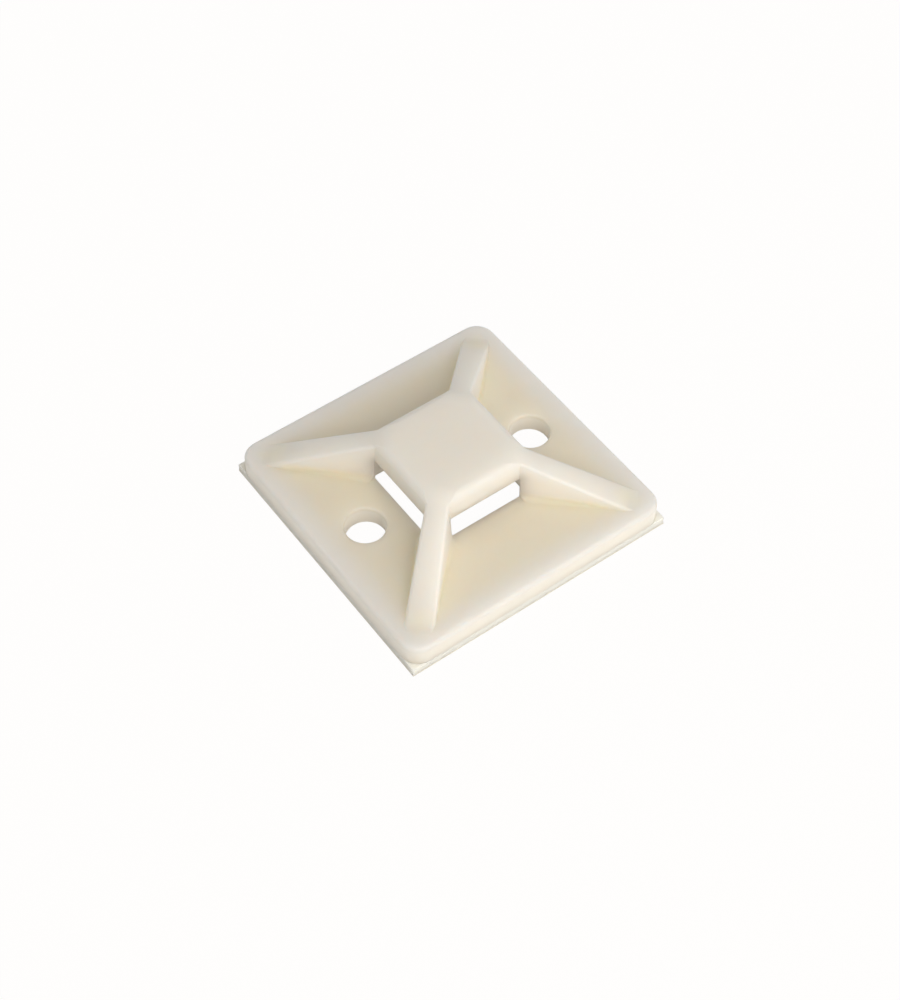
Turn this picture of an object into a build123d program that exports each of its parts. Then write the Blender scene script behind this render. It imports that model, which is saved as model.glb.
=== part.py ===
"""Stick-down cable tie mount: a square moulded base, four ribs and a raised saddle.

A cable tie is threaded under the saddle, in at one side and out at the opposite one.
Millimetres, +Z up. The origin is the middle of the release liner's underside,
which is the face that goes on the wall once the liner is peeled off.
"""

from build123d import *
from math import radians, sqrt, tan
import os

os.makedirs("parts", exist_ok=True)

# Adhesive pad: a foam layer and its release liner, die-cut together
liner_thickness = 0.1
foam_thickness = 0.8
window_clearance = 0.5
screw_clearance = 1.1

# Base plate of the moulding
base_side = 28.0
base_thickness = 2.0
base_corner_radius = 1.9
base_edge_radius = 0.4

# Passages for the tie, one under each side of the saddle
tie_slot_height = 2.5
tie_slot_width = 7.7
core_draft = 1.0

# Saddle, the square plate that bridges the opening
saddle_post = 1.6
saddle_thickness = 2.4
saddle_corner_radius = 1.0
saddle_edge_radius = 0.8
saddle_draft = 2.0

# Ribs from the saddle's corners down to the corners of the base
rib_width = 2.7
rib_setback = 2.2
rib_draft = 4.0
rib_crest_radius = 0.3
rib_bend_radius = 3.0
rib_foot_radius = 2.5
rib_root_radius = 1.2
rib_root_faded = 0.05
rib_foot_depth = 0.15

# Share of the base's thickness that the ribs are buried in, and shares of the root's radius
# that its hollow is let into the rib's flank and into the base
buried_share = 0.7
flank_bite = 0.08
floor_bite = 0.02

# Screw holes, four ninths of the way from the saddle's sides out to the base's edges
screw_hole_diameter = 3.8
screw_hole_edge_radius = 0.2
screw_hole_place = 4 / 9

# Levels, worked out from the sizes above
base_underside = liner_thickness + foam_thickness
base_top = base_underside + base_thickness
saddle_underside = base_top + tie_slot_height
saddle_top = saddle_underside + saddle_thickness

# Plan, worked out from the tie's passages and the base
saddle_side = tie_slot_width + 2 * saddle_post
screw_hole_spacing = saddle_side + screw_hole_place * (base_side - saddle_side)
# The core that leaves the opening widens downwards, so that it draws out of the base
opening_side = saddle_side + 2 * (saddle_underside - base_underside) * tan(radians(core_draft))

# Along the diagonal: each crest starts where its width fills the corner of the saddle's flat
# top, and ends short of the base's rounded corner
crest_width = rib_width - 2 * (saddle_top - base_top) * tan(radians(rib_draft))
crest_start = (saddle_side - 2 * saddle_edge_radius) / sqrt(2) - crest_width / 2
rib_reach = base_side / sqrt(2) - base_corner_radius * (sqrt(2) - 1) - rib_setback
crest_slope = (saddle_top - base_top) / (rib_reach - crest_start)

# Each bar runs from corner to corner on a buried root, and its feet sink into the base
root_depth = buried_share * base_thickness
root_width = rib_width + 2 * root_depth * tan(radians(rib_draft))
bar_end = rib_reach + root_width / 2

with BuildPart() as crest_waste:
    # Side view of all that is cleared away above two ribs and the saddle between them
    with BuildSketch(Plane.XZ) as side_view:
        with BuildLine():
            Polyline(
                (-2 * bar_end, base_top - rib_foot_depth),
                (-rib_reach, base_top),
                (-crest_start, saddle_top),
                (crest_start, saddle_top),
                (rib_reach, base_top),
                (2 * bar_end, base_top - rib_foot_depth),
                (2 * bar_end, 2 * saddle_top),
                (-2 * bar_end, 2 * saddle_top),
                close=True,
            )
        make_face()
        fillet(side_view.vertices().group_by(Axis.Y)[-2], radius=rib_bend_radius)
        fillet(side_view.vertices().group_by(Axis.Y)[1], radius=rib_foot_radius)
    extrude(amount=saddle_side, both=True)

with BuildPart() as rib_bar:
    # Plan of the bar, wider by its draft, so that it has its width at the base's top
    with BuildSketch(Plane.XY.offset(base_top - root_depth)):
        Rectangle(2 * bar_end, root_width)
    extrude(amount=saddle_top - base_top + root_depth, taper=rib_draft)
    add(crest_waste.part, mode=Mode.SUBTRACT)
    flanks = rib_bar.faces().filter_by(lambda face: abs(face.normal_at().Y) > 0.9)
    crest_edges = flanks.edges().filter_by(lambda edge: edge.center().Z > base_top - rib_foot_depth)
    fillet(crest_edges, radius=rib_crest_radius)

with BuildPart() as rib_root:
    # Hollow rounding on both sides of a bar, widest at the middle and gone at the foot
    fade_end = rib_reach - rib_crest_radius / crest_slope
    for along, radius in ((0, rib_root_radius), (fade_end, rib_root_faded)):
        hollow_place = rib_width / 2 + (1 - flank_bite) * radius
        hollow_height = base_top + (1 - floor_bite) * radius
        with BuildSketch(Plane.YZ.offset(along)):
            with Locations((0, base_top - root_depth)):
                Rectangle(
                    2 * hollow_place,
                    hollow_height - base_top + root_depth,
                    align=(Align.CENTER, Align.MIN),
                )
            with Locations((-hollow_place, hollow_height), (hollow_place, hollow_height)):
                Circle(radius, mode=Mode.SUBTRACT)
    loft(ruled=True)
    mirror(about=Plane.YZ)

with BuildPart() as saddle:
    with BuildSketch(Plane.XY.offset(saddle_underside)):
        RectangleRounded(saddle_side, saddle_side, saddle_corner_radius)
    extrude(amount=saddle_thickness, taper=saddle_draft)
    fillet(saddle.faces().sort_by(Axis.Z)[-1].edges(), radius=saddle_edge_radius)
    # The ribs' crests run on over the saddle's corners, up to its flat top
    for turn in (-45, 45):
        add(crest_waste.part, rotation=(0, 0, turn), mode=Mode.SUBTRACT)

with BuildPart() as mount_body:
    with BuildSketch(Plane.XY.offset(base_underside)):
        RectangleRounded(base_side, base_side, base_corner_radius)
        with GridLocations(screw_hole_spacing, 0, 2, 1):
            Circle(screw_hole_diameter / 2, mode=Mode.SUBTRACT)
    extrude(amount=base_thickness)
    hole_rims = mount_body.faces().sort_by(Axis.Z)[-1].inner_wires().edges()
    fillet(hole_rims, radius=screw_hole_edge_radius)
    base_rim = mount_body.faces().sort_by(Axis.Z)[-1].outer_wire().edges()
    fillet(base_rim, radius=base_edge_radius)

    for turn in (-45, 45):
        add(rib_bar.part, rotation=(0, 0, turn))
        add(rib_root.part, rotation=(0, 0, turn))
    add(saddle.part)

    # Opening under the saddle, from its underside down through the base
    with BuildSketch(Plane.XY.offset(saddle_underside)):
        RectangleRounded(saddle_side, saddle_side, saddle_corner_radius)
    extrude(
        amount=-(saddle_underside - base_underside),
        taper=-core_draft,
        mode=Mode.SUBTRACT,
    )

    # The two crossing tie passages end square against the ribs
    with Locations((0, 0, base_top)):
        for turn in (0, 90):
            Box(
                saddle_side + 2 * rib_width,
                tie_slot_width,
                tie_slot_height,
                rotation=(0, 0, turn),
                align=(Align.CENTER, Align.CENTER, Align.MIN),
                mode=Mode.SUBTRACT,
            )

# The pad and its liner share one outline, open under the tie space and under both screws
window_side = opening_side + 2 * window_clearance
screw_window_width = screw_hole_diameter + 2 * screw_clearance
with BuildSketch() as pad_outline:
    Rectangle(base_side, base_side)
    Rectangle(window_side, window_side, mode=Mode.SUBTRACT)
    SlotCenterToCenter(screw_hole_spacing, screw_window_width, mode=Mode.SUBTRACT)

with BuildPart() as foam_pad:
    with Locations((0, 0, liner_thickness)):
        add(pad_outline.sketch)
    extrude(amount=foam_thickness)

with BuildPart() as release_liner:
    add(pad_outline.sketch)
    extrude(amount=liner_thickness)

mount_body.part.label = "mount_body"
foam_pad.part.label = "foam_pad"
release_liner.part.label = "release_liner"
export_step(mount_body.part, "parts/mount_body.step")
export_step(foam_pad.part, "parts/foam_pad.step")
export_step(release_liner.part, "parts/release_liner.step")
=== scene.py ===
import math

import bmesh
import bpy
from mathutils import Matrix, Vector


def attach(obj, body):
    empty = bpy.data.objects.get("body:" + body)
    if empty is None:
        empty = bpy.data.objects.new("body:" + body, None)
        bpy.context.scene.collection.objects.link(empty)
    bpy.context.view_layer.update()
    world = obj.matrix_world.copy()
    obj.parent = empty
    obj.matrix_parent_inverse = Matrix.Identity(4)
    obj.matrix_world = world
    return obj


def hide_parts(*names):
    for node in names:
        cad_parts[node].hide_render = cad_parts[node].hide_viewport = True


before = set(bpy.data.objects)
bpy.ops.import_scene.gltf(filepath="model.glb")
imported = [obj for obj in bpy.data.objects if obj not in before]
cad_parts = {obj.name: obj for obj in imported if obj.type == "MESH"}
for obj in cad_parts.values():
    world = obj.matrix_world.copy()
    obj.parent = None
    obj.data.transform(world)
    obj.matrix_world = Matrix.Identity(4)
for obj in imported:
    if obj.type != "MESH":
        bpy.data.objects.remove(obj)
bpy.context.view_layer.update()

scene = bpy.context.scene


# Moulded mount: base, ribs and saddle in one piece, injection-moulded in natural, unpigmented
# nylon 6/6, so it is milky and cream. It is held to the wall by the pad or by two screws.
# Its frame: the origin is the middle of the liner's underside, +Z points away from the wall.
BASE_HALF_SIDE = 0.014
BASE_TOP = 0.0029
RIB_HALF_WIDTH = 0.00135
NOOK_PAINTED_LIGHT_END = 0.0058
RIB_FOOT = BASE_TOP + 0.0001
RIB_PALE = BASE_TOP + 0.001
RIM_START = BASE_HALF_SIDE - 0.0034
RIM_PALE = BASE_HALF_SIDE - 0.0006
WALL_TOP = BASE_TOP - 0.00005
WALL_PAINTED_LIGHT_FULL = BASE_TOP - 0.0006
WALL_DEPTH = 0.35
NYLON_LIGHT_REACH = 0.005
CLOUD_SIZE = 0.0045
CLOUD_SHARE = 0.06
GRAIN_SIZE = 0.0002
GRAIN_HEIGHT = 0.00003


def linear(hex_colour):
    """An sRGB hex colour as linear RGBA."""
    channels = [int(hex_colour[i : i + 2], 16) / 255 for i in (1, 3, 5)]
    return (*[c / 12.92 if c <= 0.04045 else ((c + 0.055) / 1.055) ** 2.4 for c in channels], 1.0)


def node(tree, kind, settings=None, inputs=None):
    """Adds a node; settings are its own properties, inputs are values or links by socket."""
    made = tree.nodes.new(kind)
    for name, value in (settings or {}).items():
        setattr(made, name, value)
    for name, value in (inputs or {}).items():
        if isinstance(value, bpy.types.NodeSocket):
            tree.links.new(value, made.inputs[name])
        else:
            made.inputs[name].default_value = value
    return made


def new_material(name):
    """An empty node material, with its node tree."""
    material = bpy.data.materials.new(name)
    material.use_nodes = True
    material.node_tree.nodes.clear()
    return material, material.node_tree


# The mould is satin. Light goes a few millimetres into the nylon, and on the base's floor, over the
# pad, it is a deep cream. The paler tones laid over the floor are partly this translucency, where
# light can leave again nearby, and partly painted light: a painted highlight on the raised ribs and
# saddle and along the rim, painted light in the nooks beside the ribs against their shade, and most
# of all painted light in the side faces and the holes' walls.
nylon, tree = new_material("natural_nylon_moulded")
place = node(tree, "ShaderNodeTexCoord").outputs["Object"]
axes = node(tree, "ShaderNodeSeparateXYZ", inputs={"Vector": place}).outputs
across = node(tree, "ShaderNodeMath", {"operation": "ABSOLUTE"}, {0: axes["X"]}).outputs[0]
along = node(tree, "ShaderNodeMath", {"operation": "ABSOLUTE"}, {0: axes["Y"]}).outputs[0]
reach = node(tree, "ShaderNodeMath", {"operation": "MAXIMUM"}, {0: across, 1: along}).outputs[0]
off_rib = node(tree, "ShaderNodeMath", {"operation": "SUBTRACT"}, {0: across, 1: along}).outputs[0]
off_rib = node(tree, "ShaderNodeMath", {"operation": "ABSOLUTE"}, {0: off_rib}).outputs[0]

# The floor's tone comes first, and then the painted light in the nooks beside the ribs, the raised
# parts and the rim, partly translucency and partly painted highlight, and the painted light in the
# walls, each laid over the ones before by a share that turns evenly from 0 to 1
tone = linear("#F5E7CC")
for value, start, end, colour in (
    # Painted light: a paler tone beside the ribs, against the shade in the nooks
    (off_rib, NOOK_PAINTED_LIGHT_END, RIB_HALF_WIDTH, "#FBEED2"),
    # Raised ribs and saddle: partly translucency, partly a painted highlight
    (axes["Z"], RIB_FOOT, RIB_PALE, "#F3EADB"),
    # Rim: partly translucency, partly painted light
    (reach, RIM_START, RIM_PALE, "#F3EADB"),
    # Side faces and holes' walls: painted light, the palest tone
    (axes["Z"], WALL_TOP, WALL_PAINTED_LIGHT_FULL, "#FDF4E3"),
):
    share = node(
        tree,
        "ShaderNodeMapRange",
        {"interpolation_type": "SMOOTHSTEP"},
        {"Value": value, "From Min": start, "From Max": end},
    )
    tone = node(
        tree,
        "ShaderNodeMix",
        {"data_type": "RGBA"},
        {"Factor": share.outputs["Result"], "A": tone, "B": linear(colour)},
    ).outputs["Result"]

# A faint cloudiness in the nylon, and the fine grain of the mould's surface
cloud = node(
    tree,
    "ShaderNodeTexNoise",
    inputs={"Vector": place, "Scale": 1 / CLOUD_SIZE, "Detail": 3.0},
)
share = node(
    tree,
    "ShaderNodeMath",
    {"operation": "MULTIPLY"},
    {0: cloud.outputs["Fac"], 1: CLOUD_SHARE},
)
tone = node(
    tree,
    "ShaderNodeMix",
    {"data_type": "RGBA"},
    {"Factor": share.outputs[0], "A": tone, "B": linear("#D8CDB8")},
)
grain = node(
    tree,
    "ShaderNodeTexNoise",
    inputs={"Vector": place, "Scale": 1 / GRAIN_SIZE, "Detail": 3.0},
)
bump = node(
    tree,
    "ShaderNodeBump",
    inputs={"Height": grain.outputs["Fac"], "Strength": 0.08, "Distance": GRAIN_HEIGHT},
)
# Less subsurface in the side faces and the holes' walls, so they render brighter: painted light,
# with their pale tone
depth = node(
    tree,
    "ShaderNodeMapRange",
    {"interpolation_type": "SMOOTHSTEP"},
    {"Value": axes["Z"], "From Min": WALL_PAINTED_LIGHT_FULL, "From Max": WALL_TOP, "To Min": WALL_DEPTH},
)
skin = node(
    tree,
    "ShaderNodeBsdfPrincipled",
    {"subsurface_method": "RANDOM_WALK"},
    {
        "Base Color": tone.outputs["Result"],
        "Roughness": 0.46,
        "IOR": 1.53,
        "Subsurface Weight": depth.outputs["Result"],
        "Subsurface Radius": (0.7, 0.85, 1.0),
        "Subsurface Scale": NYLON_LIGHT_REACH,
        "Normal": bump.outputs["Normal"],
    },
)
node(tree, "ShaderNodeOutputMaterial", inputs={"Surface": skin.outputs["BSDF"]})

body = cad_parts["mount_body"]
body.data.materials.clear()
body.data.materials.append(nylon)

# Adhesive pad: double-sided closed-cell foam tape, die-cut to the base together with its
# liner, open in the middle and under both screws. Its own adhesive bonds it to the nylon.
PAD_UNDERSIDE = 0.0001
PAD_TOP = 0.0009
PAD_MIDDLE = (PAD_UNDERSIDE + PAD_TOP) / 2
MERGE_DISTANCE = 0.000001
LEVEL_TOLERANCE = 0.00001
FLAT_ANGLE = math.radians(1.0)
CORNER_ANGLE = math.radians(60.0)
SMOOTH_ANGLE = math.radians(40.0)
CUT_STEP = 0.001
WALL_PULL = 0.00003
CUT_WAVER = 0.00002
EDGE_ROUNDING = 0.00006
CELL_SIZE = 0.00015
CELL_HEIGHT = 0.00003
SHADE_SIZE = 0.0025
FOAM_LIGHT_REACH = 0.0006

bpy.ops.object.select_all(action="DESELECT")
solid_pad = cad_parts["foam_pad"]
tape = solid_pad.copy()
tape.data = solid_pad.data.copy()
tape.name = "foam_tape"
scene.collection.objects.link(tape)
tape.select_set(True)
bpy.context.view_layer.objects.active = tape
bpy.ops.object.mode_set(mode="EDIT")
bpy.ops.mesh.select_all(action="SELECT")
bpy.ops.mesh.remove_doubles(threshold=MERGE_DISTANCE)
bpy.ops.mesh.dissolve_limited(angle_limit=FLAT_ANGLE)

# The knife presses the foam in a little, so a cut wall is hollow at its middle and not quite even
steps = int(BASE_HALF_SIDE / CUT_STEP)
for normal in ((1, 0, 0), (0, 1, 0)):
    for step in range(1 - steps, steps):
        bpy.ops.mesh.select_all(action="SELECT")
        bpy.ops.mesh.bisect(plane_co=Vector(normal) * step * CUT_STEP, plane_no=normal)
bpy.ops.mesh.select_all(action="SELECT")
bpy.ops.mesh.bisect(plane_co=(0, 0, PAD_MIDDLE), plane_no=(0, 0, 1))
bpy.ops.mesh.select_all(action="DESELECT")
bpy.ops.mesh.select_mode(type="VERT")
mesh = bmesh.from_edit_mesh(tape.data)
for vertex in mesh.verts:
    vertex.select_set(abs(vertex.co.z - PAD_MIDDLE) < LEVEL_TOLERANCE)
bmesh.update_edit_mesh(tape.data)
bpy.ops.transform.shrink_fatten(value=-WALL_PULL)
bpy.ops.transform.vertex_random(offset=CUT_WAVER, normal=1.0, seed=4)

# The skins at the foam's two faces roll over at the cut
bpy.ops.mesh.select_all(action="DESELECT")
bpy.ops.mesh.select_mode(type="EDGE")
bpy.ops.mesh.edges_select_sharp(sharpness=CORNER_ANGLE)
bpy.ops.mesh.bevel(offset=EDGE_ROUNDING, segments=3, affect="EDGES")
bpy.ops.object.mode_set(mode="OBJECT")
bpy.ops.object.shade_smooth_by_angle(angle=SMOOTH_ANGLE)

# Its cut walls show fine closed cells; the foam is matt and white, and a little light goes in.
foam, tree = new_material("white_polyethylene_foam")
place = node(tree, "ShaderNodeTexCoord").outputs["Object"]
cells = node(tree, "ShaderNodeTexVoronoi", inputs={"Vector": place, "Scale": 1 / CELL_SIZE})
shade = node(
    tree,
    "ShaderNodeTexNoise",
    inputs={"Vector": place, "Scale": 1 / SHADE_SIZE, "Detail": 2.0},
)
tone = node(
    tree,
    "ShaderNodeMix",
    {"data_type": "RGBA"},
    {"Factor": shade.outputs["Fac"], "A": linear("#F0EADB"), "B": linear("#F6F1E5")},
)
bump = node(
    tree,
    "ShaderNodeBump",
    inputs={"Height": cells.outputs["Distance"], "Strength": 0.5, "Distance": CELL_HEIGHT},
)
skin = node(
    tree,
    "ShaderNodeBsdfPrincipled",
    {"subsurface_method": "RANDOM_WALK"},
    {
        "Base Color": tone.outputs["Result"],
        "Roughness": 0.75,
        "Subsurface Weight": 1.0,
        "Subsurface Radius": (1.0, 1.0, 1.0),
        "Subsurface Scale": FOAM_LIGHT_REACH,
        "Normal": bump.outputs["Normal"],
    },
)
node(tree, "ShaderNodeOutputMaterial", inputs={"Surface": skin.outputs["BSDF"]})
tape.data.materials.clear()
tape.data.materials.append(foam)
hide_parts("foam_pad")
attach(tape, "root")

# Release liner: thin siliconed paper, smooth and a little yellow, left on the pad's lower face
# until the mount is stuck down. It shows as a fine line under the foam, a little cloudy and with
# a soft sheen.
PAPER_CLOUD_SIZE = 0.0011

liner_paper, tree = new_material("siliconed_liner_paper")
place = node(tree, "ShaderNodeTexCoord").outputs["Object"]
paper_cloud = node(
    tree,
    "ShaderNodeTexNoise",
    inputs={"Vector": place, "Scale": 1 / PAPER_CLOUD_SIZE, "Detail": 4.0},
)
tone = node(
    tree,
    "ShaderNodeMix",
    {"data_type": "RGBA"},
    {"Factor": paper_cloud.outputs["Fac"], "A": linear("#E0D7C0"), "B": linear("#E9E1CF")},
)
skin = node(
    tree,
    "ShaderNodeBsdfPrincipled",
    inputs={"Base Color": tone.outputs["Result"], "Roughness": 0.35},
)
node(tree, "ShaderNodeOutputMaterial", inputs={"Surface": skin.outputs["BSDF"]})
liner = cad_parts["release_liner"]
liner.data.materials.clear()
liner.data.materials.append(liner_paper)

# Floor: a plain white table. To the camera it is the photograph's white ground, and it keeps
# a little of the mount's shadow. A hair's gap keeps it clear of the liner's own face.
FLOOR_SIDE = 4.0
FLOOR_GAP = 0.00002
GLOW_SHARE = 0.985

bpy.ops.object.select_all(action="DESELECT")
bpy.ops.mesh.primitive_plane_add(size=FLOOR_SIDE, location=(0, 0, -FLOOR_GAP))
bpy.ops.object.transform_apply(location=True)
floor = bpy.context.object
floor.name = "floor"
paper, tree = new_material("white_table")
light_path = node(tree, "ShaderNodeLightPath")
seen = node(
    tree,
    "ShaderNodeMath",
    {"operation": "MAXIMUM"},
    {0: light_path.outputs["Is Camera Ray"], 1: light_path.outputs["Is Glossy Ray"]},
)
share = node(tree, "ShaderNodeMath", {"operation": "MULTIPLY"}, {0: seen.outputs[0], 1: GLOW_SHARE})
matt = node(tree, "ShaderNodeBsdfDiffuse", inputs={"Color": linear("#F2F1EF")})
glow = node(tree, "ShaderNodeEmission", inputs={"Color": linear("#FFFEFD"), "Strength": 1.0})
mixed = node(
    tree,
    "ShaderNodeMixShader",
    inputs={0: share.outputs[0], 1: matt.outputs[0], 2: glow.outputs[0]},
)
node(tree, "ShaderNodeOutputMaterial", inputs={"Surface": mixed.outputs[0]})
floor.data.materials.append(paper)

# Studio light: a pale room, and soft boxes round the mount at a plain level. The strongest is
# just to the right of the camera, high up.
ROOM_LEVEL = 0.39

world = bpy.data.worlds.new("studio")
scene.world = world
world.use_nodes = True
tree = world.node_tree
tree.nodes.clear()
light_path = node(tree, "ShaderNodeLightPath")
seen = node(
    tree,
    "ShaderNodeMath",
    {"operation": "MAXIMUM"},
    {0: light_path.outputs["Is Camera Ray"], 1: light_path.outputs["Is Glossy Ray"]},
)
room = node(
    tree,
    "ShaderNodeBackground",
    inputs={"Color": linear("#FFFFFF"), "Strength": ROOM_LEVEL},
)
ground = node(tree, "ShaderNodeBackground", inputs={"Color": linear("#FFFEFD"), "Strength": 1.0})
mixed = node(
    tree,
    "ShaderNodeMixShader",
    inputs={0: seen.outputs[0], 1: room.outputs[0], 2: ground.outputs[0]},
)
node(tree, "ShaderNodeOutputWorld", inputs={"Surface": mixed.outputs[0]})

# Square boxes aimed at the mount: azimuth and elevation in degrees, where azimuth 0 shines
# along +Y, then distance and side in metres, and power in watts
for name, azimuth, elevation, distance, side, power in (
    ("near_key", -2.0, 38.0, 0.2, 0.12, 0.105),
    ("high_key", -22.0, 48.0, 0.5, 0.3, 0.71),
    ("side_fill", 45.0, 22.0, 0.5, 0.3, 0.38),
    ("back_fill", 180.0, 16.0, 0.5, 0.3, 0.07),
):
    lamp = bpy.data.lights.new(name, "AREA")
    lamp.shape = "SQUARE"
    lamp.size = side
    lamp.energy = power
    soft_box = bpy.data.objects.new(name, lamp)
    scene.collection.objects.link(soft_box)
    a, e = math.radians(azimuth), math.radians(elevation)
    out = Vector((math.sin(a) * math.cos(e), -math.cos(a) * math.cos(e), math.sin(e)))
    soft_box.location = out * distance
    soft_box.rotation_euler = out.to_track_quat("Z", "Y").to_euler()

# Camera: the photograph's angle and framing. Its place and its lens were fitted to the
# mount's outlines in the photo, whose middle is a little off the lens's axis.
CAMERA_AZIMUTH = -36.06
CAMERA_ELEVATION = 52.45
CAMERA_DISTANCE = 0.1825
FOCAL_PIXELS = 1980.3
IMAGE_HEIGHT = 1000.0
CENTRE_RIGHT = -0.985
CENTRE_DOWN = -3.323
SENSOR_HEIGHT = 36.0
NEAREST_SEEN = 0.01

camera_data = bpy.data.cameras.new("camera")
camera_data.sensor_fit = "VERTICAL"
camera_data.sensor_height = SENSOR_HEIGHT
camera_data.lens = SENSOR_HEIGHT * FOCAL_PIXELS / IMAGE_HEIGHT
camera_data.shift_x = -CENTRE_RIGHT / IMAGE_HEIGHT
camera_data.shift_y = CENTRE_DOWN / IMAGE_HEIGHT
camera_data.clip_start = NEAREST_SEEN
camera = bpy.data.objects.new("camera", camera_data)
scene.collection.objects.link(camera)
a, e = math.radians(CAMERA_AZIMUTH), math.radians(CAMERA_ELEVATION)
back = Vector((math.sin(a) * math.cos(e), -math.cos(a) * math.cos(e), math.sin(e)))
right = Vector((math.cos(a), math.sin(a), 0.0))
up = back.cross(right)
turned = Matrix((right, up, back)).transposed().to_4x4()
camera.matrix_world = Matrix.Translation(back * CAMERA_DISTANCE) @ turned
scene.camera = camera

scene.view_settings.view_transform = "Standard"
